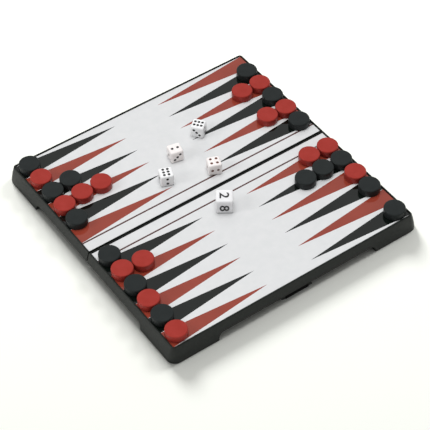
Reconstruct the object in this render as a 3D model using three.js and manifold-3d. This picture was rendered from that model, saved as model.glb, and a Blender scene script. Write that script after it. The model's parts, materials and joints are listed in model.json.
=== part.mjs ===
// Folding travel backgammon set, laid open for play. Millimetres, +Z up.
// Origin: middle of the open board, on the table. X runs along the fold,
// -Y is the front leaf and +Y is the back leaf.
import * as THREE from 'three';
import { mergeVertices } from 'three/addons/utils/BufferGeometryUtils.js';
import Module from 'manifold-3d';

const wasm = await Module();
wasm.setup();

// ---- Driving dimensions ------------------------------------------------

// Case leaves: a shallow moulding whose walls flare outwards to the table.
const RIM_HEIGHT = 14;
const BASE_HALF_X = 106.4;
const BASE_HALF_Y = 108.4;
const BASE_CORNER = 6.6;
const ARCH_HEIGHT = 5.8;
const ARCH_INSET = 0.9;
const RIM_INSET = 3.4;
const WALL = 1.8;
const SEAM_GAP = 1;
const SEAM_RIM = 0.6;
const SEAM_WALL = 1.6;
const SEAM_OPENING = 7;
const POCKET_HALF_X = 102.1;
const POCKET_HALF_Y = 104.1;
const DECK_TOP = 12.3;
const DECK_BOTTOM = 11;

// How far blocks that are joined run into each other.
const JOIN = 0.2;

// Arched finger gaps between the corner feet.
const FRONT_ARCH_HALF = 67.5;
const SIDE_ARCH_HALF = 68.6;
const ARCH_FILLET = 4.5;
const FOOT_THICKNESS = 4.8;

// Storage tub: an inner wall that meets the other leaf's when folded.
const TUB_HALF_X = 98.5;
const TUB_NEAR_Y = 7.5;
const TUB_FAR_Y = 101.6;
const TUB_WALL = 1.6;
const TUB_LIFT = 0.25;

// Printed steel play plates.
const PLATE_THICKNESS = 0.5;
const FIT_GAP = 0.3;
const PLAY_SURFACE = DECK_TOP + FIT_GAP + PLATE_THICKNESS;

// Storage inserts that line the tubs, each with two partitions.
const INSERT_GAP = 0.4;
const INSERT_SHEET = 0.8;
const INSERT_LIFT = 0.75;
const PARTITION_X = 30;
const PARTITION_DEPTH = 7;

// Two-pin link hinges. The pins sit just above the plane where the leaves
// meet, so that the folded leaves stay clear by twice HINGE_SPREAD.
const HINGE_X = 62;
const PIN_Z = 3.2;
const HINGE_SPREAD = 0.25;
const PIN_Y = PIN_Z + HINGE_SPREAD;
const PIN_RADIUS = 0.9;
const RUNNING_GAP = 0.3;
const LINK_RADIUS = 2.3;
const LINK_WIDTH = 6.4;
const EAR_RADIUS = 2.5;
const EAR_WIDTH = 2.2;
const EAR_GAP = 0.4;
const RIVET_HEAD_RADIUS = 1.5;
const RIVET_HEAD_HEIGHT = 0.8;

// Flap latch under the middle of the front arch.
const LATCH_Y = 104.6;
const LATCH_Z = 1.7;
const LATCH_BARREL = 1.25;
const LATCH_PIN = 0.5;
const LATCH_HALF = 10;
const LATCH_EAR = 2.3;
const LATCH_REACH = 3.8;
const LATCH_SHEET = 1;
const LATCH_TOE = 0.8;
const LATCH_TOE_HEIGHT = 0.6;
const KEEPER_HALF = 9;
const KEEPER_DEPTH = 1.9;
const KEEPER_Z = [0.3, 0.8];

// Board geometry: points, checkers, dice.
const POINT_PITCH = 15.5;
const FIRST_POINT = 18.8;
const CHECKER_RADIUS = 8;
const CHECKER_HEIGHT = 5.8;
const CHECKER_EDGE = 0.8;
const CHECKER_ROW_X = 93.7;
const CHECKER_STEP = 16.4;
const DIE_EDGE = 10;
const DIE_CHAMFER = 0.9;
const DOUBLING_EDGE = 12.5;
const DOUBLING_CHAMFER = 1.2;

// The position in play. Points are numbered 1 to 12 from the back edge to
// the front edge. Each shift is how far a checker sits off its point's
// centre line towards the back, counted inwards from the side wall.
const STACKS = [
  { side: -1, point: 1, colour: 'black', shifts: [-0.4] },
  { side: -1, point: 2, colour: 'red', shifts: [-1.3] },
  { side: -1, point: 3, colour: 'black', shifts: [-2.2, 0.4] },
  { side: -1, point: 4, colour: 'red', shifts: [-3.1, -0.5, -0.1] },
  { side: -1, point: 5, colour: 'black', shifts: [-4.0] },
  { side: -1, point: 7, colour: 'black', shifts: [6.2] },
  { side: -1, point: 8, colour: 'red', shifts: [5.2, 4.0] },
  { side: -1, point: 9, colour: 'black', shifts: [4.2] },
  { side: -1, point: 10, colour: 'red', shifts: [3.2] },
  { side: -1, point: 11, colour: 'black', shifts: [2.3] },
  { side: -1, point: 12, colour: 'red', shifts: [1.0] },
  { side: 1, point: 2, colour: 'black', shifts: [2.6] },
  { side: 1, point: 3, colour: 'red', shifts: [1.2, 1.6] },
  { side: 1, point: 4, colour: 'black', shifts: [0.2] },
  { side: 1, point: 5, colour: 'red', shifts: [-1.0, 0.1] },
  { side: 1, point: 6, colour: 'black', shifts: [-2.0] },
  { side: 1, point: 7, colour: 'red', shifts: [0.8, 1.4] },
  { side: 1, point: 8, colour: 'black', shifts: [-0.1, 0.4, -0.3] },
  { side: 1, point: 9, colour: 'red', shifts: [-1.1] },
  { side: 1, point: 10, colour: 'black', shifts: [-2.0] },
  { side: 1, point: 12, colour: 'black', shifts: [0.5] },
];

// Dice lie where they were thrown: centre and turn on the board.
const DICE = [
  { name: 'white_die_1', x: 27.3, y: 53.0, turn: -51 },
  { name: 'white_die_2', x: -20.2, y: 25.7, turn: -21 },
  { name: 'cream_die_1', x: -1.2, y: 42.1, turn: -12 },
  { name: 'cream_die_2', x: 14.3, y: 14.4, turn: -22 },
];
const DOUBLING_CUBE = { x: -0.8, y: -20.1, turn: -35 };

// ---- Materials ---------------------------------------------------------

function material(color, roughness, metalness = 0) {
  return new THREE.MeshStandardMaterial({ color, roughness, metalness });
}

const CASE_PLASTIC = material(0x303431, 0.55);
const INSERT_PLASTIC = material(0x1c1e1d, 0.6);
const LATCH_PLASTIC = material(0x0e0f0f, 0.5);
const PRINTED_STEEL = material(0xe8eaeb, 0.15);
const BARE_STEEL = material(0xa8abad, 0.35, 1);
const RED_PLASTIC = material(0xb4302c, 0.35);
const BLACK_PLASTIC = material(0x26292a, 0.4);
const WHITE_PLASTIC = material(0xf2f2ee, 0.3);
const CREAM_PLASTIC = material(0xf3e3d6, 0.3);

// ---- Solids ------------------------------------------------------------

const FAR = 130;

function toSolid(geometry) {
  const bare = geometry.clone();
  bare.deleteAttribute('normal');
  bare.deleteAttribute('uv');
  const merged = mergeVertices(bare, 1e-4);
  const mesh = new wasm.Mesh({
    numProp: 3,
    vertProperties: merged.attributes.position.array,
    triVerts: new Uint32Array(merged.index.array),
  });
  return new wasm.Manifold(mesh);
}

function toGeometry(solid) {
  const mesh = solid.getMesh();
  const geometry = new THREE.BufferGeometry();
  const positions = new THREE.BufferAttribute(mesh.vertProperties, 3);
  geometry.setAttribute('position', positions);
  geometry.setIndex(new THREE.BufferAttribute(mesh.triVerts, 1));
  return geometry;
}

function boxGeometry(x, y, z) {
  const [width, depth, height] = [x, y, z].map(([low, high]) => high - low);
  const [midX, midY, midZ] = [x, y, z].map(([low, high]) => (low + high) / 2);
  return new THREE.BoxGeometry(width, depth, height).translate(midX, midY, midZ);
}

function box(x, y, z) {
  return toSolid(boxGeometry(x, y, z));
}

// A cylinder along X.
function barAlongX(radius, x, y, z) {
  const [low, high] = x;
  const bar = new THREE.CylinderGeometry(radius, radius, high - low, 16);
  bar.rotateZ(Math.PI / 2).translate((low + high) / 2, y, z);
  return toSolid(bar);
}

function roundedRectangle(halfX, halfY, corner) {
  const shape = new THREE.Shape();
  const [x, y] = [halfX - corner, halfY - corner];
  shape.absarc(x, y, corner, 0, Math.PI / 2);
  shape.absarc(-x, y, corner, Math.PI / 2, Math.PI);
  shape.absarc(-x, -y, corner, Math.PI, 1.5 * Math.PI);
  shape.absarc(x, -y, corner, 1.5 * Math.PI, 2 * Math.PI);
  return shape;
}

// A block on a rounded rectangle whose sides lean in by `inset` from low to high.
function leaningBlock(halfX, halfY, corner, inset, [low, high]) {
  const geometry = new THREE.ExtrudeGeometry(roundedRectangle(halfX, halfY, corner), {
    depth: 1,
    curveSegments: 6,
    bevelSegments: 1,
    bevelThickness: high - low,
    bevelSize: inset,
    bevelOffset: -inset,
  });
  geometry.translate(0, 0, low - 1);
  return toSolid(geometry).intersect(box([-FAR, FAR], [-FAR, FAR], [low, high]));
}

// The whole open board as one block, drawn in by `shrink` all round.
function boardBlock(shrink) {
  const lower = leaningBlock(BASE_HALF_X - shrink, BASE_HALF_Y - shrink,
    BASE_CORNER - shrink, ARCH_INSET, [0, ARCH_HEIGHT]);
  const drawnIn = shrink + ARCH_INSET;
  const upper = leaningBlock(BASE_HALF_X - drawnIn, BASE_HALF_Y - drawnIn,
    BASE_CORNER - drawnIn, RIM_INSET - ARCH_INSET, [ARCH_HEIGHT, RIM_HEIGHT]);
  return lower.add(upper);
}

// The cutter for one arched finger gap, `halfLength` to each side of the middle.
function archCutter(halfLength, depth) {
  const low = -1;
  const spring = ARCH_HEIGHT - ARCH_FILLET;
  const shape = new THREE.Shape();
  shape.moveTo(-halfLength, low);
  shape.lineTo(halfLength, low);
  shape.absarc(halfLength - ARCH_FILLET, spring, ARCH_FILLET, 0, Math.PI / 2);
  shape.absarc(-halfLength + ARCH_FILLET, spring, ARCH_FILLET, Math.PI / 2, Math.PI);
  const geometry = new THREE.ExtrudeGeometry(shape, {
    depth,
    curveSegments: 5,
    bevelEnabled: false,
  });
  return geometry.rotateX(Math.PI / 2);
}

function hingeEar(x) {
  const block = box(x, [-PIN_Y - EAR_RADIUS, -PIN_Y + EAR_RADIUS], [PIN_Z, DECK_BOTTOM + JOIN]);
  const eye = barAlongX(EAR_RADIUS, x, -PIN_Y, PIN_Z);
  const bore = barAlongX(PIN_RADIUS + RUNNING_GAP, [x[0] - 1, x[1] + 1], -PIN_Y, PIN_Z);
  return block.add(eye).subtract(bore);
}

function latchEar(x) {
  const tongue = [LATCH_Z - LATCH_BARREL, LATCH_Z + LATCH_BARREL];
  const block = box(x, [-LATCH_Y, -TUB_FAR_Y + JOIN], tongue);
  const eye = barAlongX(LATCH_BARREL, x, -LATCH_Y, LATCH_Z);
  const bore = barAlongX(LATCH_PIN + RUNNING_GAP, [x[0] - 1, x[1] + 1], -LATCH_Y, LATCH_Z);
  return block.add(eye).subtract(bore);
}

// One case leaf, drawn as the front one: Y from the fold to the front edge.
function caseLeaf({ latch }) {
  const outer = boardBlock(0).intersect(
    box([-FAR, FAR], [-FAR, -SEAM_GAP / 2], [0, RIM_HEIGHT]));
  const cavity = boardBlock(WALL).intersect(
    box([-FAR, FAR], [-FAR, -SEAM_GAP / 2 - SEAM_WALL], [-1, DECK_BOTTOM]));
  const pocket = box([-POCKET_HALF_X, POCKET_HALF_X],
    [-POCKET_HALF_Y, -SEAM_GAP / 2 - SEAM_RIM], [DECK_TOP, RIM_HEIGHT + 1]);
  const underSeam = box([-FAR, FAR], [-SEAM_OPENING, 1], [-1, ARCH_HEIGHT]);
  let leaf = outer.subtract(cavity).subtract(pocket).subtract(underSeam);

  const footZ = [0, DECK_BOTTOM + JOIN];
  const innerX = BASE_HALF_X - FOOT_THICKNESS;
  const innerY = BASE_HALF_Y - FOOT_THICKNESS;
  for (const side of [-1, 1]) {
    const alongY = [innerX, FAR].map((x) => side * x).sort((a, b) => a - b);
    const alongX = [FRONT_ARCH_HALF, FAR].map((x) => side * x).sort((a, b) => a - b);
    const footprint = box(alongY, [-FAR, -SIDE_ARCH_HALF], footZ)
      .add(box(alongX, [-FAR, -innerY], footZ));
    leaf = leaf.add(outer.intersect(footprint));
  }

  const frontArch = archCutter(FRONT_ARCH_HALF, 15).translate(0, -TUB_FAR_Y - 1, 0);
  const sideArch = archCutter(SIDE_ARCH_HALF, 2 * FAR).translate(0, FAR, 0);
  leaf = leaf.subtract(toSolid(frontArch));
  const sideGap = toSolid(sideArch.rotateZ(Math.PI / 2));
  leaf = leaf.subtract(sideGap.subtract(
    box([-TUB_HALF_X - 1, TUB_HALF_X + 1], [-FAR, FAR], [-2, RIM_HEIGHT])));

  const tub = box([-TUB_HALF_X, TUB_HALF_X], [-TUB_FAR_Y, -TUB_NEAR_Y],
    [TUB_LIFT, DECK_BOTTOM + JOIN]);
  const well = box([-TUB_HALF_X + TUB_WALL, TUB_HALF_X - TUB_WALL],
    [-TUB_FAR_Y + TUB_WALL, -TUB_NEAR_Y - TUB_WALL], [-1, DECK_BOTTOM]);
  leaf = leaf.add(tub.subtract(well));

  const earNear = LINK_WIDTH / 2 + EAR_GAP;
  for (const middle of [-HINGE_X, HINGE_X]) {
    leaf = leaf.add(hingeEar([middle - earNear - EAR_WIDTH, middle - earNear]));
    leaf = leaf.add(hingeEar([middle + earNear, middle + earNear + EAR_WIDTH]));
  }
  if (latch) {
    const near = LATCH_HALF + EAR_GAP;
    leaf = leaf.add(latchEar([-near - LATCH_EAR, -near]));
    leaf = leaf.add(latchEar([near, near + LATCH_EAR]));
  }
  return toGeometry(leaf);
}

function playPlate() {
  const halfX = POCKET_HALF_X - FIT_GAP;
  const farY = POCKET_HALF_Y - FIT_GAP;
  const nearY = SEAM_GAP / 2 + SEAM_RIM + FIT_GAP;
  return boxGeometry([-halfX, halfX], [-farY, -nearY],
    [PLAY_SURFACE - PLATE_THICKNESS, PLAY_SURFACE]);
}

// An open tray that hangs mouth down in the tub, with two cross partitions.
function storageInsert() {
  const reach = TUB_WALL + INSERT_GAP;
  const halfX = TUB_HALF_X - reach;
  const [farY, nearY] = [TUB_FAR_Y - reach, TUB_NEAR_Y + reach];
  const top = DECK_BOTTOM - FIT_GAP;
  const low = INSERT_LIFT;
  const sheet = INSERT_SHEET;
  const shell = box([-halfX, halfX], [-farY, -nearY], [low, top]);
  const hollow = box([-halfX + sheet, halfX - sheet], [-farY + sheet, -nearY - sheet],
    [low - 1, top - sheet]);
  let insert = shell.subtract(hollow);
  for (const x of [-PARTITION_X, PARTITION_X]) {
    insert = insert.add(box([x - sheet / 2, x + sheet / 2],
      [-farY + JOIN, -nearY - JOIN], [top - PARTITION_DEPTH, top - JOIN]));
  }
  return toGeometry(insert);
}

function hingeLink() {
  const shape = new THREE.Shape();
  shape.absarc(PIN_Y, 0, LINK_RADIUS, -Math.PI / 2, Math.PI / 2);
  shape.absarc(-PIN_Y, 0, LINK_RADIUS, Math.PI / 2, 1.5 * Math.PI);
  for (const y of [-PIN_Y, PIN_Y]) {
    const bore = new THREE.Path();
    bore.absarc(y, 0, PIN_RADIUS + RUNNING_GAP, 0, 2 * Math.PI, true);
    shape.holes.push(bore);
  }
  const geometry = new THREE.ExtrudeGeometry(shape, {
    depth: LINK_WIDTH,
    curveSegments: 8,
    bevelEnabled: false,
  });
  return geometry.translate(0, 0, -LINK_WIDTH / 2).rotateX(Math.PI / 2).rotateZ(Math.PI / 2);
}

// A rivet with a flat head at each end, along X.
function hingeRivet() {
  const half = LINK_WIDTH / 2 + EAR_GAP + EAR_WIDTH + RUNNING_GAP;
  const end = half + RIVET_HEAD_HEIGHT;
  const profile = [
    [0, -end], [RIVET_HEAD_RADIUS, -end], [RIVET_HEAD_RADIUS, -half], [PIN_RADIUS, -half],
    [PIN_RADIUS, half], [RIVET_HEAD_RADIUS, half], [RIVET_HEAD_RADIUS, end], [0, end],
  ].map(([radius, along]) => new THREE.Vector2(radius, along));
  return new THREE.LatheGeometry(profile, 16).rotateZ(-Math.PI / 2);
}

function latchFlap() {
  const x = [-LATCH_HALF, LATCH_HALF];
  const tip = LATCH_Z + LATCH_REACH;
  const outerFace = -LATCH_Y - LATCH_SHEET / 2;
  const sheet = box(x, [outerFace, -LATCH_Y + LATCH_SHEET / 2], [LATCH_Z, tip]);
  const toe = box(x, [outerFace - LATCH_TOE, outerFace + JOIN], [tip - LATCH_TOE_HEIGHT, tip]);
  const bar = box(x, [-LATCH_Y - LATCH_BARREL, -LATCH_Y + LATCH_BARREL],
    [LATCH_Z - LATCH_BARREL, LATCH_Z + LATCH_BARREL]);
  const bore = barAlongX(LATCH_PIN + RUNNING_GAP, [x[0] - 1, x[1] + 1], -LATCH_Y, LATCH_Z);
  return toGeometry(sheet.add(toe).add(bar).subtract(bore));
}

function latchPin() {
  const half = LATCH_HALF + EAR_GAP + LATCH_EAR - FIT_GAP;
  const pin = new THREE.CylinderGeometry(LATCH_PIN, LATCH_PIN, 2 * half, 12);
  return pin.rotateZ(Math.PI / 2).translate(0, -LATCH_Y, LATCH_Z);
}

// The lip that the latch's toe hooks behind, once the leaves are folded together.
function latchKeeper() {
  const face = TUB_FAR_Y + FIT_GAP;
  return boxGeometry([-KEEPER_HALF, KEEPER_HALF], [-face - KEEPER_DEPTH, -face], KEEPER_Z);
}

function checker() {
  const [radius, height, edge] = [CHECKER_RADIUS, CHECKER_HEIGHT, CHECKER_EDGE];
  const profile = [
    [0, 0], [radius - edge, 0], [radius, edge],
    [radius, height - edge], [radius - edge, height], [0, height],
  ].map(([across, up]) => new THREE.Vector2(across, up));
  return new THREE.LatheGeometry(profile, 24).rotateX(Math.PI / 2);
}

// A cube with chamfered edges, standing on z = 0.
function chamferedCube(edge, chamfer) {
  const [half, flat] = [edge / 2, edge / 2 - chamfer];
  const outline = [
    [half, -flat], [half, flat], [flat, half], [-flat, half],
    [-half, flat], [-half, -flat], [-flat, -half], [flat, -half],
  ].map(([x, y]) => new THREE.Vector2(x, y));
  const geometry = new THREE.ExtrudeGeometry(new THREE.Shape(outline), {
    depth: edge - 2 * chamfer,
    bevelSegments: 1,
    bevelThickness: chamfer,
    bevelSize: chamfer,
    bevelOffset: -chamfer,
  });
  return geometry.translate(0, 0, chamfer);
}

// ---- Assembly ----------------------------------------------------------

const set = new THREE.Group();
const frontLeaf = new THREE.Group();
const backLeaf = new THREE.Group();
backLeaf.rotation.z = Math.PI;
set.add(frontLeaf, backLeaf);

function add(group, name, geometry, surface) {
  const mesh = new THREE.Mesh(geometry, surface);
  mesh.name = name;
  group.add(mesh);
  return mesh;
}

for (const [leaf, group] of [['front', frontLeaf], ['back', backLeaf]]) {
  add(group, `${leaf}_case`, caseLeaf({ latch: leaf === 'front' }), CASE_PLASTIC);
  add(group, `${leaf}_play_plate`, playPlate(), PRINTED_STEEL);
  add(group, `${leaf}_storage_insert`, storageInsert(), INSERT_PLASTIC);
  for (const [hand, x] of [['left', -HINGE_X], ['right', HINGE_X]]) {
    const rivet = add(group, `${leaf}_hinge_rivet_${hand}`, hingeRivet(), BARE_STEEL);
    rivet.position.set(group === backLeaf ? -x : x, -PIN_Y, PIN_Z);
  }
}

for (const [hand, x] of [['left', -HINGE_X], ['right', HINGE_X]]) {
  add(set, `hinge_link_${hand}`, hingeLink(), LATCH_PLASTIC).position.set(x, 0, PIN_Z);
}

add(frontLeaf, 'latch_flap', latchFlap(), LATCH_PLASTIC);
add(frontLeaf, 'latch_pin', latchPin(), BARE_STEEL);
add(backLeaf, 'latch_keeper', latchKeeper(), BARE_STEEL);

function pointCentre(point) {
  return point <= 6
    ? FIRST_POINT + POINT_PITCH * (6 - point)
    : -FIRST_POINT - POINT_PITCH * (point - 7);
}

const pieceBase = PLAY_SURFACE + FIT_GAP;
const checkerCount = { red: 0, black: 0 };
const checkerSurface = { red: RED_PLASTIC, black: BLACK_PLASTIC };

for (const { side, point, colour, shifts } of STACKS) {
  shifts.forEach((shift, place) => {
    checkerCount[colour] += 1;
    const number = String(checkerCount[colour]).padStart(2, '0');
    const piece = add(set, `${colour}_checker_${number}`, checker(), checkerSurface[colour]);
    piece.position.set(side * (CHECKER_ROW_X - CHECKER_STEP * place),
      pointCentre(point) + shift, pieceBase);
  });
}

for (const { name, x, y, turn } of DICE) {
  const surface = name.startsWith('white') ? WHITE_PLASTIC : CREAM_PLASTIC;
  const die = add(set, name, chamferedCube(DIE_EDGE, DIE_CHAMFER), surface);
  die.position.set(x, y, pieceBase);
  die.rotation.z = THREE.MathUtils.degToRad(turn);
}

const doubling = add(set, 'doubling_cube',
  chamferedCube(DOUBLING_EDGE, DOUBLING_CHAMFER), WHITE_PLASTIC);
doubling.position.set(DOUBLING_CUBE.x, DOUBLING_CUBE.y, pieceBase);
doubling.rotation.z = THREE.MathUtils.degToRad(DOUBLING_CUBE.turn);

export default set;
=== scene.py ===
"""Folding travel backgammon set, open for play. Metres, in the CAD's frame."""
import json
import math

import bmesh
import bpy
from mathutils import Matrix, Quaternion, Vector
from mathutils.geometry import delaunay_2d_cdt


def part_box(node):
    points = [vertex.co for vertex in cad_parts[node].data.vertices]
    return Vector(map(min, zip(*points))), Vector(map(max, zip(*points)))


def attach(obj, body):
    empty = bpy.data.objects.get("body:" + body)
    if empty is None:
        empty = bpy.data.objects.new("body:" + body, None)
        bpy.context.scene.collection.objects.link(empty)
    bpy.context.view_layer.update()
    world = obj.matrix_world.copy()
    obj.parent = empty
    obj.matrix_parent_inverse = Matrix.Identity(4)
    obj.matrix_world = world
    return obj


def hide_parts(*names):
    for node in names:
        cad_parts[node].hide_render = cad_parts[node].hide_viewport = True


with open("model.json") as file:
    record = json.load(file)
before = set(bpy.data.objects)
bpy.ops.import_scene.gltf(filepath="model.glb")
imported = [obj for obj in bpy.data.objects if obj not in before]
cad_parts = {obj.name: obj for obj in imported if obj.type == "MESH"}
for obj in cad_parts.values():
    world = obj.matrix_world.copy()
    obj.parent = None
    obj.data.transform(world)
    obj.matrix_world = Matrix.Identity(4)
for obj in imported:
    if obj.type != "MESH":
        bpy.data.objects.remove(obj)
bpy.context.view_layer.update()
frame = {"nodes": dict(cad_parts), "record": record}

MM = 0.001

# ---- Dimensions, in millimetres ----------------------------------------

RIM_TOP = 14.0
RIM_INNER = 102.1, 104.1          # half sizes of the open board inside its rim
RIM_WIDTH = 1.0
RIM_EASE = 0.15                   # chamfer along the rim's inside edge
RIM_ROUND = 0.4, 0.35             # width and height of the rounding along its outside edge
ROUND_MIDDLE = 0.3, 0.08          # where a rounding's middle is: a share of its width in from
#                                   the outside, and a drop from the top
FLARE_OUT = 3.3                   # how far the walls lean out, rim to table
FLARE_CURVE = 1.5                 # over 1, so they lean most at the rim
CORNER_RADIUS = 1.2               # of the outline at the pocket, and
CORNER_GROWTH = 1.27              # how much it gains for each millimetre out from there
LEAST_CORNER = 0.6                # the radius inside a foot
WALL = 1.8
FOOT_INSIDE = -0.5                # a foot's inside face, measured like RIM_WIDTH
DECK_TOP = 12.3
DECK_BOTTOM = 11.0
ARCH_TOP = 5.8
ARCH_COVE = 4.3                   # radius of the cove at each end of an arch
FOOT_BEND = 0.7                   # radius between a foot's flat and the arch's end
EDGE_ROUND = 0.55                 # radius along a wall's outside bottom edge
INNER_EASE = 0.25                 # chamfer along its inside bottom edge
FRONT_ARCH = 67.5                 # the arches' half widths
SIDE_ARCH = 68.6
SEAM = 0.5                        # half the gap between the open leaves
SEAM_RIM, SEAM_WALL = 0.6, 1.6    # widths of the rim and the wall along the fold
SEAM_ROUND = 0.3, 0.3             # that rim's rounding
TUB_HALF_X = 98.5
TUB_Y = 7.5, 101.6
TUB_WALL = 1.6
TUB_LOW = 0.25
TUB_CORNER = 2.4
TUB_EASE = 0.25                   # rounding of a tub wall's bottom edges
TUB_EASE_MIDDLE = 0.07            # how far each way the middle of that is from the corner
INTO_CASE = 0.1                   # how far tubs run into the deck, and lugs into deck or tub
LUG_GAP = 0.4                     # between a lug and the link or latch flap beside it
LUG_EASE = 0.2
HINGE_LUG_WIDTH, HINGE_LUG_RADIUS, HINGE_BORE = 2.2, 2.5, 1.2
LATCH_LUG_WIDTH, LATCH_LUG_RADIUS, LATCH_BORE = 2.3, 1.25, 0.8

PLATE_TOP = 13.2
PLATE_BOTTOM = 12.6
PLATE_GAP = 0.3                   # between a plate and the rim round it
PLATE_EASE = 0.08
PITCH = 15.5                      # from one printed point to the next
FIRST_POINT = 18.8                # from the fold to the middle of the first point
POINT_TIP = 18.9                  # from the middle of the board to the points' tips
LINE_Y = 10.3                     # from the fold to the middle of the printed line
LINE_WIDTH = 1.3

PIECE_SEAT = PLATE_TOP + 0.02     # the height that checkers, dice and the cube stand at

CHECKER_RADIUS, CHECKER_HEIGHT = 8.0, 5.98
CHECKER_SIDES = 56
CHECKER_TOP_EASE = 0.95
CHECKER_CROWN = 0.02              # how far the middle of a checker's top rises, and
CROWN_SLOPE = 2.5                 # the width of the slope up to it
MAGNET_RADIUS = 3.0
MAGNET_DEPTH = 0.25               # how far the magnet sits inside the underside

DIE_EDGE, DIE_ROUNDING = 10.0, 1.15
PIP_RADIUS = 1.05
CUBE_EDGE, CUBE_ROUNDING = 12.5, 1.5
ONE_DIGIT, TWO_DIGITS = 9.6, 5.8  # type sizes
INK = 0.02                        # half the thickness of the printed digits
INK_LIFT = 0.005                  # how far above the face the middle of that thickness is
LOW_EIGHT = 0.7                   # how far the 8 sits below the middle of its face


# ---- Small helpers ------------------------------------------------------

def quarter_turn(steps, first=0):
    """The sine and cosine of each step round a quarter of a circle."""
    for step in range(first, steps + 1):
        angle = step / steps * math.pi / 2
        yield math.sin(angle), math.cos(angle)


def link(name, data):
    obj = bpy.data.objects.new(name, data)
    bpy.context.scene.collection.objects.link(obj)
    return obj


def mesh_from(name, verts, faces, slots=None, angle=40):
    """A mesh from points in millimetres, with one material slot number per face."""
    mesh = bpy.data.meshes.new(name)
    mesh.from_pydata([Vector(v) * MM for v in verts], [], faces)
    if slots:
        mesh.polygons.foreach_set("material_index", slots)
    bm = bmesh.new()
    bm.from_mesh(mesh)
    bmesh.ops.remove_doubles(bm, verts=bm.verts, dist=1e-6)
    bmesh.ops.recalc_face_normals(bm, faces=bm.faces)
    for face in bm.faces:
        face.smooth = True
    for edge in bm.edges:
        if len(edge.link_faces) == 2:
            edge.smooth = edge.calc_face_angle() < math.radians(angle)
    bm.to_mesh(mesh)
    bm.free()
    mesh.update()
    return mesh


def mesh_in_metres(name, bm):
    """Turns a BMesh that was drawn in millimetres into a mesh, and frees it."""
    bmesh.ops.scale(bm, vec=(MM, MM, MM), verts=bm.verts)
    mesh = bpy.data.meshes.new(name)
    bm.to_mesh(mesh)
    bm.free()
    return mesh


def finish_piece(obj, body, materials):
    for material in materials:
        obj.data.materials.append(material)
    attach(obj, body)


def body_of_node(node):
    bodies = frame["record"]["behaviour"]["bodies"]
    return next(body for body, nodes in bodies.items() if node in nodes)


def middle(node):
    low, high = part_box(node)
    return (Vector(low) + Vector(high)) / 2


def seat(node, turn):
    """Where a loose piece drawn on z = 0 stands on its play plate, turned by that many radians."""
    centre = middle(node)
    place = Matrix.Translation((centre.x, centre.y, PIECE_SEAT * MM))
    return place @ Matrix.Rotation(turn, 4, "Z")


def half_turn(obj):
    """Turns a piece drawn for the front leaf round to the back leaf."""
    obj.data.transform(Matrix.Rotation(math.pi, 4, "Z"))


def bevel_edges(obj, width, angle):
    """Rounds a piece's edges sharper than `angle` degrees by `width` millimetres."""
    bevel = obj.modifiers.new("edges", "BEVEL")
    bevel.width = width * MM
    bevel.segments = 2
    bevel.limit_method = "ANGLE"
    bevel.angle_limit = math.radians(angle)
    return bevel


def counter_clockwise(outline):
    area = sum(a[0] * b[1] - b[0] * a[1] for a, b in zip(outline, outline[1:] + outline[:1]))
    return outline if area > 0 else outline[::-1]


def flat_regions(outlines):
    """Flat triangles that fill nested outlines, each with the number of its innermost one."""
    flat, loops = [], []
    for outline in outlines:
        loops.append(list(range(len(flat), len(flat) + len(outline))))
        flat += [Vector(point) for point in counter_clockwise(list(outline))]
    points, _, triangles, _, _, sources = delaunay_2d_cdt(flat, [], loops, 1, 1e-4)
    for triangle, source in zip(triangles, sources):
        if source:
            yield [points[corner] for corner in triangle], max(source)


def grown_verts(grown):
    return [part for part in grown if isinstance(part, bmesh.types.BMVert)]


# ---- Materials ------------------------------------------------------------

def new_material(name, colour, roughness, metallic, gloss):
    material = bpy.data.materials.new(name)
    material.use_nodes = True
    shader = material.node_tree.nodes["Principled BSDF"]
    shader.inputs["Base Color"].default_value = (*colour, 1)
    shader.inputs["Roughness"].default_value = roughness
    shader.inputs["Metallic"].default_value = metallic
    shader.inputs["Specular IOR Level"].default_value = gloss
    return material, material.node_tree, shader


def noise(tree, scale, detail, rough):
    coords = tree.nodes.new("ShaderNodeTexCoord")
    texture = tree.nodes.new("ShaderNodeTexNoise")
    texture.inputs["Scale"].default_value = scale
    texture.inputs["Detail"].default_value = detail
    texture.inputs["Roughness"].default_value = rough
    tree.links.new(coords.outputs["Object"], texture.inputs["Vector"])
    return texture.outputs["Fac"]


def ramp(tree, source, low, high):
    node = tree.nodes.new("ShaderNodeValToRGB")
    for stop, position, colour in zip(node.color_ramp.elements, (0.3, 0.7), (low, high)):
        stop.position = position
        stop.color = (*colour, 1)
    tree.links.new(source, node.inputs["Fac"])
    return node.outputs["Color"]


def span(tree, source, low, high):
    node = tree.nodes.new("ShaderNodeMapRange")
    node.inputs["To Min"].default_value = low
    node.inputs["To Max"].default_value = high
    tree.links.new(source, node.inputs["Value"])
    return node.outputs["Result"]


def bump(tree, shader, source, strength, distance):
    node = tree.nodes.new("ShaderNodeBump")
    node.inputs["Strength"].default_value = strength
    node.inputs["Distance"].default_value = distance
    tree.links.new(source, node.inputs["Height"])
    tree.links.new(node.outputs["Normal"], shader.inputs["Normal"])


def mottled(name, dark, light, roughness, grain, bump_strength, bump_distance,
            metallic=0.0, gloss=0.5, patch=40.0):
    """A surface with soft colour patches, fine grain in its gloss and a fine bump."""
    material, tree, shader = new_material(name, light, sum(roughness) / 2, metallic, gloss)
    patches = noise(tree, patch, 2.0, 0.5)
    tree.links.new(ramp(tree, patches, dark, light), shader.inputs["Base Color"])
    fine = noise(tree, grain, 4.0, 0.6)
    tree.links.new(span(tree, fine, *roughness), shader.inputs["Roughness"])
    bump(tree, shader, fine, bump_strength, bump_distance)
    return material


def print_ink(name, dark, light, patch):
    """One colour of the play plates' glossy print."""
    return mottled(name, dark, light, (0.05, 0.09), 900, 0.04, 0.00002, patch=patch)


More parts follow.
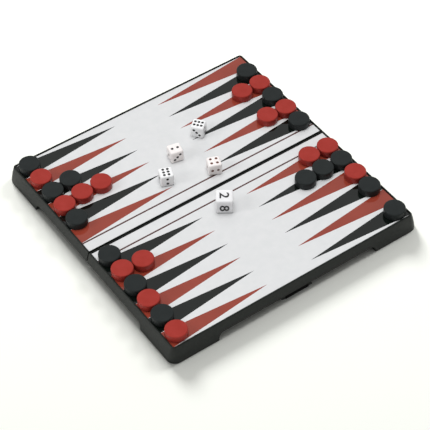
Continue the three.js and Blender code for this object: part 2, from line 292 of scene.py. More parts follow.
def translucent(material):
    """Lets light a little way into a plastic."""
    shader = material.node_tree.nodes["Principled BSDF"]
    shader.inputs["Subsurface Weight"].default_value = 0.5
    shader.inputs["Subsurface Radius"].default_value = (1.0, 1.0, 1.0)
    shader.inputs["Subsurface Scale"].default_value = 0.0025
    return material


CASE = mottled("case_plastic", (0.009, 0.011, 0.0095), (0.015, 0.0175, 0.0155),
               (0.36, 0.52), 900, 0.55, 0.00012, gloss=0.3, patch=500)
INSERT = mottled("insert_plastic", (0.010, 0.011, 0.011), (0.014, 0.015, 0.015),
                 (0.45, 0.60), 1500, 0.3, 0.00005)
HINGE = mottled("hinge_plastic", (0.002, 0.002, 0.002), (0.004, 0.004, 0.004),
                (0.55, 0.70), 2000, 0.25, 0.00004, gloss=0.1)
STEEL = mottled("plain_steel", (0.52, 0.53, 0.55), (0.62, 0.63, 0.64),
                (0.22, 0.38), 2500, 0.15, 0.00002, metallic=1.0)
PRINT_WHITE = print_ink("print_white", (0.665, 0.675, 0.68), (0.695, 0.70, 0.705), 160)
PRINT_RED = print_ink("print_red", (0.25, 0.039, 0.0225), (0.29, 0.047, 0.028), 60)
PRINT_BLACK = print_ink("print_black", (0.0022, 0.0040, 0.0030), (0.0042, 0.0068, 0.0055), 60)
PRINT_MAROON = print_ink("print_maroon", (0.070, 0.025, 0.022), (0.088, 0.032, 0.028), 60)
RED = mottled("red_plastic", (0.315, 0.032, 0.0240), (0.345, 0.038, 0.0300),
              (0.28, 0.36), 1500, 0.12, 0.00002, gloss=0.12, patch=160)
BLACK = mottled("black_plastic", (0.0195, 0.0228, 0.0228), (0.0225, 0.0262, 0.0262),
                (0.28, 0.36), 1500, 0.12, 0.00002, gloss=0.1, patch=160)
MAGNET = mottled("magnet", (0.05, 0.05, 0.052), (0.075, 0.075, 0.078),
                 (0.40, 0.55), 3000, 0.3, 0.00003, metallic=0.6)
WHITE_DIE = translucent(mottled(
    "white_die_plastic", (0.88, 0.885, 0.895), (0.92, 0.925, 0.93),
    (0.20, 0.30), 1200, 0.08, 0.00002, patch=200))
CREAM_DIE = translucent(mottled(
    "cream_die_plastic", (0.90, 0.84, 0.825), (0.93, 0.875, 0.86),
    (0.20, 0.30), 1200, 0.08, 0.00002, patch=200))
CUBE = translucent(mottled(
    "doubling_cube_plastic", (0.81, 0.81, 0.82), (0.85, 0.85, 0.86),
    (0.25, 0.35), 1200, 0.08, 0.00002, patch=200))
PIP_DARK = mottled("pip_paint_dark", (0.008, 0.008, 0.008), (0.013, 0.012, 0.012),
                   (0.35, 0.50), 2500, 0.2, 0.00002, patch=400)
PIP_BROWN = mottled("pip_paint_brown", (0.11, 0.040, 0.026), (0.15, 0.052, 0.033),
                    (0.35, 0.50), 2500, 0.2, 0.00002, patch=400)
FLOOR = mottled("studio_floor", (0.945, 0.96, 0.90), (0.955, 0.97, 0.91),
                (0.75, 0.85), 30, 0.02, 0.0002, patch=3)


# ---- Case leaves --------------------------------------------------------

# A wall is a row of columns of points, and each column has the same rings: the rim's, the
# outside's and the bottom edge's, then the inside's.
RIM_RINGS = 5
FACE_STEPS = 12
EDGE_STEPS = 4
FIRST_EDGE_RING = RIM_RINGS + FACE_STEPS + 1
CORNER_STEPS = 10
SEAM_STEPS = 6                    # in each half of the wall along the fold
SEAM_EDGE = -(SEAM + SEAM_RIM)    # the pocket's edge at the fold, in Y

# Where a wall's columns stand, measured from the middle of its arch.
SIDE_MIDDLES = 56, 44, 32, 20, 9  # over the arch
FRONT_MIDDLES = 54, 40, 26, 13
SIDE_FAR, FRONT_FAR = 88, 86      # over the foot, next to the corner
FOOT_STATION = 10                 # over the foot too, but measured out from the arch's end
# The columns of an arch's end fan out up to the rim. These are measured out from the arch's
# end too: where the first one meets the rim, and how far in from there the last one does.
FAN_START, FAN_WIDTH = 4, 10


def flare(z):
    """How far the wall's outside stands out from the pocket at height z."""
    return RIM_WIDTH + FLARE_OUT * (1 - (z / RIM_TOP) ** FLARE_CURVE)


def corner_radius(growth):
    """The outline's corner radius, that far out from the pocket."""
    return max(LEAST_CORNER, CORNER_RADIUS + CORNER_GROWTH * growth)


def foot_end(arch_half):
    """Points on a wall's bottom edge from a foot's flat to the crown of the arch, as
    (along, z, normal along, normal z), with the normals pointing into the wall."""
    bend = [(arch_half + FOOT_BEND * (1 - sine), FOOT_BEND * (1 - cosine), sine, cosine)
            for sine, cosine in quarter_turn(4)]
    cove = [(arch_half - ARCH_COVE * (1 - cosine), ARCH_TOP - ARCH_COVE * (1 - sine),
             cosine, sine) for sine, cosine in quarter_turn(8)]
    return bend + cove


def rim_rings(width, rounding):
    """(growth, z) from the deck up over a rim and into the rounding of its outside edge."""
    share, drop = ROUND_MIDDLE
    return [(0, DECK_TOP), (0, RIM_TOP - RIM_EASE), (RIM_EASE, RIM_TOP),
            (width - rounding, RIM_TOP), (width - share * rounding, RIM_TOP - drop)]


def outer_profile(edge_z, normal_z, foot):
    """(growth, z, share) over the rim, down the outside, under the edge and up the inside of
    a wall. Share is how much of the edge's slide along the wall applies there."""
    round_width, round_height = RIM_ROUND
    rings = [(growth, z, 0) for growth, z in rim_rings(RIM_WIDTH, round_width)]
    top = RIM_TOP - round_height
    start = edge_z + EDGE_ROUND * normal_z
    for step in range(FACE_STEPS + 1):
        drop = step / FACE_STEPS
        z = top + (start - top) * drop
        rings.append((flare(z), z, drop))
    for sine, cosine in quarter_turn(EDGE_STEPS, 1):
        rings.append((flare(edge_z) - EDGE_ROUND * (1 - cosine),
                      edge_z + EDGE_ROUND * normal_z * (1 - sine), 1 - sine))
    inside = FOOT_INSIDE if foot else flare(edge_z) - WALL
    rings += [(inside + INNER_EASE, edge_z, 0), (inside, edge_z + INNER_EASE * normal_z, 0)]
    for z in ((edge_z + DECK_BOTTOM) / 2, DECK_BOTTOM):
        rings.append((FOOT_INSIDE if foot else flare(z) - WALL, z, 0))
    return rings


def seam_profile():
    """The same rings for the upright wall along the fold, as (growth, z)."""
    round_width, round_height = SEAM_ROUND
    rings = rim_rings(SEAM_RIM, round_width)
    top = RIM_TOP - round_height
    start = ARCH_TOP + EDGE_ROUND
    for step in range(FACE_STEPS + 1):
        rings.append((SEAM_RIM, top + (start - top) * step / FACE_STEPS))
    for sine, cosine in quarter_turn(EDGE_STEPS, 1):
        rings.append((SEAM_RIM - EDGE_ROUND * (1 - cosine), ARCH_TOP + EDGE_ROUND * (1 - sine)))
    inside = SEAM_RIM - SEAM_WALL
    rings += [(inside + INNER_EASE, ARCH_TOP), (inside, ARCH_TOP + INNER_EASE),
              (inside, (ARCH_TOP + DECK_BOTTOM) / 2), (inside, DECK_BOTTOM)]
    return rings


def wall_columns(place, arch_half, far, middles):
    """A wall's columns, from the one next to its corner to the one next to its middle.
    `place` turns a ring's growth and its distance along the wall into X and Y."""
    ends = foot_end(arch_half)
    stations = [(at, (at, 0, 0, 1)) for at in (far, arch_half + FOOT_STATION)]
    for step, edge in enumerate(ends):
        stations.append((arch_half + FAN_START - FAN_WIDTH * step / (len(ends) - 1), edge))
    stations += [(at, (at, ARCH_TOP, 0, 1)) for at in middles]
    columns = []
    for top_along, (along, edge_z, normal_along, normal_z) in stations:
        foot = along > arch_half - 0.01
        slide = EDGE_ROUND * normal_along
        column = []
        for ring, (growth, z, share) in enumerate(outer_profile(edge_z, normal_z, foot)):
            if ring < RIM_RINGS:
                at = top_along
            elif ring < FIRST_EDGE_RING:
                at = top_along + (along + slide - top_along) * share
            else:
                at = along + slide * share
            column.append((*place(growth, at), z))
        columns.append(column)
    return columns


def corner_columns(sign):
    """The columns round an outer corner, from the side wall to the front wall."""
    half_x, half_y = RIM_INNER
    columns = []
    for sine, cosine in quarter_turn(CORNER_STEPS):
        column = []
        for growth, z, _ in outer_profile(0, 1, True):
            radius = corner_radius(growth)
            column.append((sign * (half_x + growth - radius * (1 - cosine)),
                           -(half_y + growth - radius * (1 - sine)), z))
        columns.append(column)
    return columns


def half_outline(sign):
    """The columns of one half of the front leaf, from the fold round to its front wall."""
    half_x, half_y = RIM_INNER

    def on_side(growth, along):
        return sign * (half_x + growth), -along

    def on_front(growth, along):
        return sign * along, -(half_y + growth)

    seam_corner = [(sign * (half_x + growth), SEAM_EDGE + seam_growth, z) for
                   (growth, z, _), (seam_growth, _) in
                   zip(outer_profile(ARCH_TOP, 1, False), seam_profile())]
    side = wall_columns(on_side, SIDE_ARCH, SIDE_FAR, SIDE_MIDDLES)
    front = wall_columns(on_front, FRONT_ARCH, FRONT_FAR, FRONT_MIDDLES)
    return [seam_corner] + side[::-1] + corner_columns(sign) + front


def leaf_columns():
    """The front leaf's outline, one column of points for each station round it."""
    half_x, half_y = RIM_INNER
    front_middle = [(0, -(half_y + growth), z)
                    for growth, z, _ in outer_profile(ARCH_TOP, 1, False)]
    seam = [[(half_x * place / SEAM_STEPS, SEAM_EDGE + growth, z)
             for growth, z in seam_profile()]
            for place in range(SEAM_STEPS - 1, -SEAM_STEPS, -1)]
    return half_outline(-1) + [front_middle] + half_outline(1)[::-1] + seam


def leaf_shell(name):
    """The case leaf's deck and walls, as one closed skin."""
    loop = leaf_columns()
    rings = len(loop[0])
    verts = [point for column in loop for point in column]
    faces = []
    for column in range(len(loop)):
        after = (column + 1) % len(loop)
        for ring in range(rings - 1):
            faces.append((column * rings + ring, after * rings + ring,
                          after * rings + ring + 1, column * rings + ring + 1))
    faces.append([column * rings for column in range(len(loop))])
    faces.append([column * rings + rings - 1 for column in reversed(range(len(loop)))])
    return link(name, mesh_from(name, verts, faces, angle=50))


def tub_walls(name):
    """The storage tub under the front leaf's deck: an upright wall with rounded corners."""
    near, far = TUB_Y
    top = DECK_BOTTOM + INTO_CASE
    eased, shallow = TUB_EASE, TUB_EASE_MIDDLE
    profile = [(0, top), (0, TUB_LOW + eased), (shallow, TUB_LOW + shallow), (eased, TUB_LOW),
               (TUB_WALL - eased, TUB_LOW), (TUB_WALL - shallow, TUB_LOW + shallow),
               (TUB_WALL, TUB_LOW + eased), (TUB_WALL, top)]
    steps = 6
    half_y = (far - near) / 2
    verts = []
    for quarter, (sign_x, sign_y) in enumerate(((1, 1), (-1, 1), (-1, -1), (1, -1))):
        centre_x = sign_x * (TUB_HALF_X - TUB_CORNER)
        centre_y = -(near + far) / 2 + sign_y * (half_y - TUB_CORNER)
        for step in range(steps + 1):
            turn = (quarter + step / steps) * math.pi / 2
            for inset, z in profile:
                radius = TUB_CORNER - inset
                verts.append((centre_x + radius * math.cos(turn),
                              centre_y + radius * math.sin(turn), z))
    rings, count = len(profile), len(verts) // len(profile)
    faces = []
    for place in range(count):
        after = (place + 1) % count
        for ring in range(rings):
            other = (ring + 1) % rings
            faces.append((place * rings + ring, after * rings + ring,
                          after * rings + other, place * rings + other))
    return link(name, mesh_from(name, verts, faces))


def lug(name, across, pin, stem, reach, radius, bore):
    """A lug between two X values: a round eye about a pin that lies along X, and a stem that
    runs back into the case. `pin` and `stem` are in Y and Z."""
    eye_steps, bore_steps = 16, 24
    side = Vector((-stem.y, stem.x))
    turns = [math.pi * step / eye_steps for step in range(eye_steps + 1)]
    outline = [pin + side * radius * math.cos(turn) - stem * radius * math.sin(turn)
               for turn in turns]
    outline += [pin - side * radius + stem * reach, pin + side * radius + stem * reach]
    hole = [pin + Vector((math.cos(turn), math.sin(turn))) * bore
            for turn in (2 * math.pi * step / bore_steps for step in range(bore_steps))]
    bm = bmesh.new()
    for corners, region in flat_regions([outline, hole]):
        if region == 0:
            bm.faces.new([bm.verts.new((across[0], *corner)) for corner in corners])
    bmesh.ops.remove_doubles(bm, verts=bm.verts, dist=1e-3)
    for vert in grown_verts(bmesh.ops.extrude_face_region(bm, geom=bm.faces[:])["geom"]):
        vert.co.x = across[1]
    bmesh.ops.recalc_face_normals(bm, faces=bm.faces)
    bmesh.ops.dissolve_limit(bm, angle_limit=0.01, verts=bm.verts, edges=bm.edges)
    piece = link(name, mesh_in_metres(name, bm))
    piece.data.shade_smooth()
    bevel_edges(piece, LUG_EASE, 35).harden_normals = True
    return piece


def hinge_lugs(leaf):
    """The four lugs that hold a leaf's two hinge pins, a pair astride each link."""
    for hand in ("left", "right"):
        pin = middle(f"{leaf}_hinge_rivet_{hand}") / MM
        low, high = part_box(f"hinge_link_{hand}")
        for side, face in ((-1, low[0]), (1, high[0])):
            near = face / MM + side * LUG_GAP
            name = f"{leaf}_hinge_lug_{hand}_{'inner' if side * pin.x < 0 else 'outer'}"
            yield lug(name, (near, near + side * HINGE_LUG_WIDTH), Vector((pin.y, pin.z)),
                      Vector((0, 1)), DECK_BOTTOM + INTO_CASE - pin.z, HINGE_LUG_RADIUS,
                      HINGE_BORE)


def latch_lugs():
    """The two lugs at the ends of the latch flap, on the front leaf's tub."""
    pin = middle("latch_pin") / MM
    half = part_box("latch_flap")[1][0] / MM + LUG_GAP
    for hand, side in (("left", -1), ("right", 1)):
        yield lug(f"latch_lug_{hand}", (side * half, side * (half + LATCH_LUG_WIDTH)),
                  Vector((pin.y, pin.z)), Vector((1, 0)), -pin.y - TUB_Y[1] + INTO_CASE,
                  LATCH_LUG_RADIUS, LATCH_BORE)


for leaf in ("front", "back"):
    walls = [leaf_shell(f"{leaf}_case_shell"), tub_walls(f"{leaf}_tub")]
    lugs = list(hinge_lugs(leaf))
    if leaf == "front":
        lugs += latch_lugs()
    else:
        for part in walls:
            half_turn(part)
    for part in walls + lugs:
        finish_piece(part, f"{leaf}_leaf", [CASE])
        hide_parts(f"{leaf}_case")


# ---- Play plates ----------------------------------------------------------

PLATE_MATERIALS = [PRINT_WHITE, PRINT_RED, PRINT_BLACK, PRINT_MAROON, STEEL]
WHITE_SLOT, RED_SLOT, BLACK_SLOT, MAROON_SLOT, STEEL_SLOT = range(len(PLATE_MATERIALS))


def point_outlines(side, edge_x, far):
    """The six printed points on one side of the front leaf, back to front, with their
    material slots. The last one's base stops short at the print's front edge, `far`."""
    half = PITCH / 2
    for place in range(6):
        y = -(FIRST_POINT + PITCH * place)
        dark = (place % 2 == 0) == (side < 0)
        low = max(y - half, far)
        outline = [(side * edge_x, y + half), (side * edge_x, low), (side * POINT_TIP, y)]
        yield (BLACK_SLOT if dark else RED_SLOT), outline


def print_regions(edge_x, low, high):
    """(material slot, outline) of everything printed on a plate, the white ground first."""
    regions = [(WHITE_SLOT, [(-edge_x, low), (edge_x, low), (edge_x, high), (-edge_x, high)])]
    for side in (-1, 1):
        regions += point_outlines(side, edge_x, low)
    line_low, line_high = -LINE_Y - LINE_WIDTH / 2, -LINE_Y + LINE_WIDTH / 2
    regions.append((MAROON_SLOT, [(-edge_x, line_low), (edge_x, line_low),
                                  (edge_x, line_high), (-edge_x, line_high)]))
    return regions


def plate(name):
    """A play plate drawn for the front leaf, its print cut into the top face."""
    edge_x = RIM_INNER[0] - PLATE_GAP - PLATE_EASE
    low = -(RIM_INNER[1] - PLATE_GAP - PLATE_EASE)
    high = SEAM_EDGE - PLATE_GAP - PLATE_EASE
    regions = print_regions(edge_x, low, high)
    bm = bmesh.new()
    for corners, region in flat_regions([outline for _, outline in regions]):
        face = bm.faces.new([bm.verts.new((p.x, p.y, PLATE_TOP)) for p in corners])
        face.material_index = regions[region][0]
    bmesh.ops.remove_doubles(bm, verts=bm.verts, dist=1e-3)
    rim = [edge for edge in bm.edges if edge.is_boundary]
    for drop, out in ((PLATE_EASE, PLATE_EASE), (PLATE_TOP - PLATE_BOTTOM - PLATE_EASE, 0)):
        grown = bmesh.ops.extrude_edge_only(bm, edges=rim)["geom"]
        rim = [part for part in grown if isinstance(part, bmesh.types.BMEdge)]
        for vert in grown_verts(grown):
            vert.co.z -= drop
            if abs(abs(vert.co.x) - edge_x) < 1e-3:
                vert.co.x += math.copysign(out, vert.co.x)
            if min(abs(vert.co.y - high), abs(vert.co.y - low)) < 1e-3:
                vert.co.y += out if vert.co.y > (low + high) / 2 else -out
    bmesh.ops.contextual_create(bm, geom=rim)
    for face in bm.faces:
        if face.calc_center_median().z < PLATE_TOP - 1e-4:
            face.material_index = STEEL_SLOT
    bmesh.ops.recalc_face_normals(bm, faces=bm.faces)
    return link(name, mesh_in_metres(name, bm))


for leaf in ("front", "back"):
    sheet = plate(f"{leaf}_printed_plate")
    if leaf == "back":
        half_turn(sheet)
    finish_piece(sheet, f"{leaf}_leaf", PLATE_MATERIALS)
    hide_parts(f"{leaf}_play_plate")


# ---- Checkers ---------------------------------------------------------------

def spun(profile, steps):
    """A solid of revolution about Z from (radius, z, slot) rows that start and end on the
    axis. A row's slot is that of the faces that lead up to it."""
    verts, faces, slots, rows = [], [], [], []
    for radius, z, _ in profile:
        if radius == 0:
            rows.append([len(verts)] * steps)
            verts.append((0, 0, z))
            continue
        rows.append(list(range(len(verts), len(verts) + steps)))
        for step in range(steps):
            turn = 2 * math.pi * step / steps
            verts.append((radius * math.cos(turn), radius * math.sin(turn), z))
    for row, following, (_, _, slot) in zip(rows, rows[1:], profile[1:]):
        for step in range(steps):
            after = (step + 1) % steps
            ring = [row[step], row[after], following[after], following[step]]
            faces.append(list(dict.fromkeys(ring)))
            slots.append(slot)
    return verts, faces, slots


def checker_mesh(name):
    """A moulded disc with rounded edges and a magnet let into its underside."""
    plastic, magnet = 0, 1
    radius, height, ease = CHECKER_RADIUS, CHECKER_HEIGHT, CHECKER_TOP_EASE
    crown = height + CHECKER_CROWN
    profile = [(0, MAGNET_DEPTH, magnet), (MAGNET_RADIUS - 0.1, MAGNET_DEPTH, magnet),
               (MAGNET_RADIUS, MAGNET_DEPTH - 0.1, magnet),
               (MAGNET_RADIUS + 0.05, MAGNET_DEPTH - 0.1, plastic),
               (MAGNET_RADIUS + 0.1, 0, plastic),
               (radius - 0.45, 0, plastic), (radius - 0.18, 0.05, plastic),
               (radius - 0.05, 0.18, plastic), (radius, 0.45, plastic)]
    profile += [(radius - ease * (1 - cosine), height - ease * (1 - sine), plastic)
                for sine, cosine in quarter_turn(8)]
    profile += [(radius - ease - CROWN_SLOPE, crown, plastic), (0, crown, plastic)]
    verts, faces, slots = spun(profile, CHECKER_SIDES)
    return mesh_from(name, verts, faces, slots, angle=50)


CHECKER_TURN = 0.7                # radians about Z between one checker and the next
for colour, material in (("red", RED), ("black", BLACK)):
    pattern = checker_mesh(f"{colour}_checker_shape")
    for number in range(1, 16):
        node = f"{colour}_checker_{number:02d}"
        mesh = pattern.copy()
        mesh.transform(seat(node, CHECKER_TURN * number))
        piece = link(f"{node}_disc", mesh)
        finish_piece(piece, body_of_node(node), [material, MAGNET])
        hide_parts(node)


# ---- Dice ---------------------------------------------------------------------

# Local directions: x and y are the die's own sides, z is up. Each face gives its
# outward normal and the direction that counts as "across" on it.
FACES = {
    "top": ((0, 0, 1), (1, 0, 0)),
    "bottom": ((0, 0, -1), (1, 0, 0)),
    "near": ((0, -1, 0), (1, 0, 0)),
    "far": ((0, 1, 0), (-1, 0, 0)),
    "right": ((1, 0, 0), (0, 1, 0)),
    "left": ((-1, 0, 0), (0, -1, 0)),
}
# How far pips lie from a face's middle, as shares of the edge. A six has its own spacing
# along its two rows and between them.
SPREAD = 0.214
SIX_SPREAD = 0.275, 0.17
PIP_SIDES = 20
# A sunk pip's rings: the share of its radius, and the depth in millimetres.
PIP_BOWL = (1.0, 0.0), (0.9, 0.12), (0.68, 0.24), (0.4, 0.31), (0.0, 0.34)


def pips(count, style):
    """Pip centres on a face, as shares of the edge. Style picks among the ways the same
    number can lie: "across", "up", "rising" or "falling"."""
    s = SPREAD
    diagonal = [(-s, -s), (s, s)] if style == "rising" else [(-s, s), (s, -s)]
    if count == 1:
        return [(0, 0)]
    if count == 2:
        if style in ("rising", "falling"):
            return diagonal
        return [(-s, 0), (s, 0)] if style == "across" else [(0, -s), (0, s)]
    if count == 3:
        return diagonal + [(0, 0)]
    if count == 6:
        along, beside = SIX_SPREAD
        rows = [(a * along, b * beside) for a in (-1, 0, 1) for b in (-1, 1)]
        return rows if style == "across" else [(b, a) for a, b in rows]
    corners = [(a * s, b * s) for a in (-1, 1) for b in (-1, 1)]
    return corners + ([(0, 0)] if count == 5 else [])


def pip_outlines(spots, edge):
    """A round outline about each pip centre, in millimetres on the face."""
    turns = [2 * math.pi * step / PIP_SIDES for step in range(PIP_SIDES)]
    return [[Vector((a * edge + PIP_RADIUS * math.cos(turn),
                     b * edge + PIP_RADIUS * math.sin(turn))) for turn in turns]
            for a, b in spots]


def face_grid(half, flat):
    """Grid lines across a rounded cube's face: the rounded strips and the flat between."""
    steps = 4
    lean = [math.tan(step / steps * math.pi / 4) for step in range(steps + 1)]
    high = [flat + (half - flat) * value for value in lean]
    return [-value for value in reversed(high)] + high


def rounded_point(point, half, flat):
    """Moves a point on a cube's face onto the cube with rounded edges."""
    inner = Vector([max(-flat, min(flat, value)) for value in point])
    away = Vector(point) - inner
    return inner + away.normalized() * (half - flat) if away.length else inner


def die_face(side, edge, rounding, spots):
    """One face of a rounded cube, as (corner points, slot): its rounded strips, its flat
    round the pips, and the pips sunk into it."""
    half, flat = edge / 2, edge / 2 - rounding
    out, right = (Vector(direction) for direction in FACES[side])
    up = out.cross(right)
    plastic, paint = 0, 1

    def at(a, b, sink=0.0):
        return out * (half - sink) + right * a + up * b

    lines = face_grid(half, flat)
    cells = len(lines) - 1
    for i in range(cells):
        for j in range(cells):
            if i == j == cells // 2:
                continue
            square = [(i, j), (i + 1, j), (i + 1, j + 1), (i, j + 1)]
            yield [rounded_point(at(lines[a], lines[b]), half, flat) for a, b in square], plastic
    rounds = pip_outlines(spots, edge)
    square = [Vector(corner) for corner in ((-flat, -flat), (flat, -flat),
                                            (flat, flat), (-flat, flat))]
    for corners, region in flat_regions([square] + rounds):
        if region == 0:
            yield [at(*corner) for corner in corners], plastic
    for outline in rounds:
        centre = sum(outline, Vector((0, 0))) / PIP_SIDES
        for (wide, high), (narrow, low) in zip(PIP_BOWL, PIP_BOWL[1:]):
            for here, after in zip(outline, outline[1:] + outline[:1]):
                a, b = here - centre, after - centre
                ring = [at(*(centre + a * wide), high), at(*(centre + b * wide), high)]
                if narrow:
                    ring.append(at(*(centre + b * narrow), low))
                ring.append(at(*(centre + a * narrow), low))
                yield ring, paint


def die_mesh(name, edge, rounding, layout):
    """A rounded cube standing on z = 0. Layout gives the pips on each side that has any."""
    lift = Vector((0, 0, edge / 2))
    verts, faces, slots = [], [], []
    for side in FACES:
        spots = pips(*layout[side]) if side in layout else []
        for points, slot in die_face(side, edge, rounding, spots):
            faces.append(list(range(len(verts), len(verts) + len(points))))
            verts += [point + lift for point in points]
            slots.append(slot)
    return mesh_from(name, verts, faces, slots)


# Each die's turn about Z in degrees, its plastic, its paint and its faces' pips.
DICE = {
    "white_die_1": (-51, WHITE_DIE, PIP_DARK, {
        "top": (6, "across"), "near": (3, "falling"), "right": (2, "up"),
        "left": (5, ""), "far": (4, ""), "bottom": (1, "")}),
    "white_die_2": (-21, WHITE_DIE, PIP_DARK, {
        "top": (6, "up"), "near": (2, "up"), "right": (4, ""),
        "left": (3, "rising"), "far": (5, ""), "bottom": (1, "")}),
    "cream_die_1": (-12, CREAM_DIE, PIP_DARK, {
        "top": (2, "across"), "near": (3, "rising"), "right": (6, "up"),
        "left": (1, ""), "far": (4, ""), "bottom": (5, "")}),
    "cream_die_2": (-22, CREAM_DIE, PIP_BROWN, {
        "top": (4, ""), "near": (2, "across"), "right": (6, "up"),
        "left": (1, ""), "far": (5, ""), "bottom": (3, "rising")}),
}
for node, (turn, plastic, paint, layout) in DICE.items():
    mesh = die_mesh(f"{node}_cube", DIE_EDGE, DIE_ROUNDING, layout)
    mesh.transform(seat(node, math.radians(turn)))
    piece = link(f"{node}_cube", mesh)
    finish_piece(piece, body_of_node(node), [plastic, paint])
    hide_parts(node)


# ---- Doubling cube ---------------------------------------------------------------

CUBE_TURN = -35                   # degrees about Z
DIGIT_WIDTH = 1.28                # how much wider the digits are than the font's
DIGIT_WEIGHT = 0.012              # how much bolder, as a share of their size
# Each face: outward normal, then the direction the digits read along.
NUMBERS = {
    "2": ((0, 0, 1), (0, -1, 0)),
    "8": ((0, -1, 0), (0, 0, -1)),
    "4": ((1, 0, 0), (0, 1, 0)),
    "16": ((-1, 0, 0), (0, -1, 0)),
    "32": ((0, 1, 0), (-1, 0, 0)),
    "64": ((0, 0, -1), (1, 0, 0)),
}


def digit_mesh(name, text, size):
    """Digits as a closed mesh in metres, centred on the origin, that read along +X and face +Z."""
    curve = bpy.data.curves.new(name, "FONT")
    curve.body = text
    curve.size = size * MM
    curve.align_x = "CENTER"
    curve.align_y = "CENTER"
    curve.extrude = INK * MM
    curve.offset = DIGIT_WEIGHT * size * MM
    curve.resolution_u = 6
    writing = link(name, curve)
    mesh = bpy.data.meshes.new_from_object(writing)
    bpy.data.objects.remove(writing)
    bm = bmesh.new()
    bm.from_mesh(mesh)
    bmesh.ops.remove_doubles(bm, verts=bm.verts, dist=1e-7)
    bm.to_mesh(mesh)
    bm.free()
    across = [vert.co.x for vert in mesh.vertices]
    upward = [vert.co.y for vert in mesh.vertices]
    shift = Vector((-(min(across) + max(across)) / 2, -(min(upward) + max(upward)) / 2, 0))
    mesh.transform(Matrix.Diagonal((DIGIT_WIDTH, 1, 1, 1)) @ Matrix.Translation(shift))
    return mesh


def onto_face(face, along):
    """Where digits go on one face of the doubling cube, moved `along` the way they read."""
    half = CUBE_EDGE / 2
    out, right = (Vector(direction) for direction in face)
    place = Matrix((right, out.cross(right), out)).transposed().to_4x4()
    place.translation = (out * (half + INK_LIFT) + right * along + Vector((0, 0, half))) * MM
    return place


node = "doubling_cube"
cube_seat = seat(node, math.radians(CUBE_TURN))
cube_mesh = die_mesh("doubling_cube_body", CUBE_EDGE, CUBE_ROUNDING, {})
cube_mesh.transform(cube_seat)
cube = link("doubling_cube_body", cube_mesh)
finish_piece(cube, body_of_node(node), [CUBE])
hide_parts(node)
for text, face in NUMBERS.items():
    mesh = digit_mesh(f"digits_{text}", text, ONE_DIGIT if len(text) == 1 else TWO_DIGITS)
    mesh.transform(cube_seat @ onto_face(face, LOW_EIGHT if text == "8" else 0))
    piece = link(f"doubling_digits_{text}", mesh)
    finish_piece(piece, body_of_node(node), [PIP_DARK])


# ---- Latch, hinges, inserts: CAD shapes that stay, with softened edges --------------

# Each kept piece's material and the rounding of its edges.
KEPT = {"latch_flap": (HINGE, 0.15), "latch_pin": (STEEL, 0.1), "latch_keeper": (STEEL, 0.1)}
for hand in ("left", "right"):
    KEPT[f"hinge_link_{hand}"] = (HINGE, 0.3)
for leaf in ("front", "back"):
    KEPT[f"{leaf}_storage_insert"] = (INSERT, 0.25)
    for hand in ("left", "right"):
        KEPT[f"{leaf}_hinge_rivet_{hand}"] = (STEEL, 0.2)
for node, (material, width) in KEPT.items():
    part = frame["nodes"][node]
    part.data.materials.clear()
    part.data.materials.append(material)
    part.modifiers.new("joined", "WELD").merge_threshold = 1e-6
    bevel_edges(part, width, 40)


# ---- Studio ----------------------------------------------------------------------

FLOOR_HALF = 6000                 # millimetres


def area_light(name, location, size, power):
    """A round lamp that faces the origin."""
    light = bpy.data.lights.new(name, "AREA")
    light.shape = "DISK"
    light.size = size
    light.energy = power
    lamp = link(name, light)
    lamp.location = location
    lamp.rotation_euler = (-Vector(location)).to_track_quat("-Z", "Y").to_euler()
    return lamp


floor_corners = [(-1, -1), (1, -1), (1, 1), (-1, 1)]
floor_mesh = mesh_from("studio_floor", [(x * FLOOR_HALF, y * FLOOR_HALF, 0)
                                        for x, y in floor_corners], [(0, 1, 2, 3)])
floor = link("studio_floor", floor_mesh)
floor.data.materials.append(FLOOR)

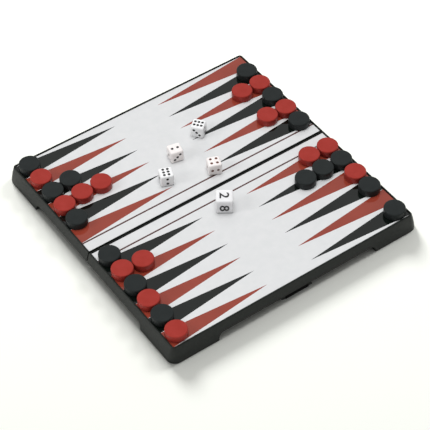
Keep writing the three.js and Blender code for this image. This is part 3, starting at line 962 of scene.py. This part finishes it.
# The sky is a soft white backdrop behind the board that fades to a dim room in front.
SKY_TOWARDS = 0.38, 0.57, 0.73    # the direction that the sky is brightest in
SKY_FADE_FROM = 0.2               # dimmest where a direction's product with it is under this
SKY_DIM, SKY_BRIGHT = 0.17, 0.68
world = bpy.data.worlds.new("studio")
world.use_nodes = True
sky = world.node_tree
facing = sky.nodes.new("ShaderNodeVectorMath")
facing.operation = "DOT_PRODUCT"
facing.inputs[1].default_value = SKY_TOWARDS
sky.links.new(sky.nodes.new("ShaderNodeTexCoord").outputs["Generated"], facing.inputs[0])
fade = sky.nodes.new("ShaderNodeMapRange")
fade.inputs["From Min"].default_value = SKY_FADE_FROM
fade.inputs["To Min"].default_value = SKY_DIM
fade.inputs["To Max"].default_value = SKY_BRIGHT
sky.links.new(facing.outputs["Value"], fade.inputs["Value"])
sky.links.new(fade.outputs["Result"], sky.nodes["Background"].inputs["Strength"])
sky.nodes["Background"].inputs["Color"].default_value = (1.0, 1.0, 1.0, 1)
bpy.context.scene.world = world

overhead = area_light("overhead", (0.10, 0.20, 2.4), 1.5, 37)
left_fill = area_light("left_fill", (-1.8, 0.5, 1.2), 1.0, 12)
front_fill = area_light("front_fill", (-0.5, -1.9, 0.75), 1.0, 5)
# These two would show as white discs in the play plates from some sides.
overhead.visible_glossy = False
front_fill.visible_glossy = False
# The floor has two lamps of its own, which draw the case's soft shadow: one low at the back
# for the front edge's, and one at the right for the left edge's.
back_floor_lamp = area_light("back_floor_lamp", (0.40, 1.59, 1.15), 0.7, 39)
right_floor_lamp = area_light("right_floor_lamp", (1.38, 0.17, 1.44), 0.55, 12.5)
for lamps, state in (((overhead, left_fill, front_fill), "EXCLUDE"),
                     ((back_floor_lamp, right_floor_lamp), "INCLUDE")):
    for lamp in lamps:
        linked = bpy.data.collections.new(f"{lamp.name}_receivers")
        linked.objects.link(floor)
        linked.collection_objects[0].light_linking.link_state = state
        lamp.light_linking.receiver_collection = linked
bpy.context.scene.view_settings.view_transform = "Standard"

CAMERA_AT = -0.4564, -0.6863, 0.8835
CAMERA_AIM = -0.0039, -0.0121, 0.0
CAMERA_ROLL = -1.69               # degrees
camera_data = bpy.data.cameras.new("camera")
camera_data.sensor_width = 36
camera_data.lens = 138.7
camera_data.clip_start = 0.05
camera_data.clip_end = 50
camera = link("camera", camera_data)
camera.location = CAMERA_AT
aim = Vector(CAMERA_AIM) - Vector(CAMERA_AT)
roll = Quaternion((0, 0, 1), math.radians(CAMERA_ROLL))
camera.rotation_mode = "QUATERNION"
camera.rotation_quaternion = aim.to_track_quat("-Z", "Y") @ roll
bpy.context.scene.camera = camera
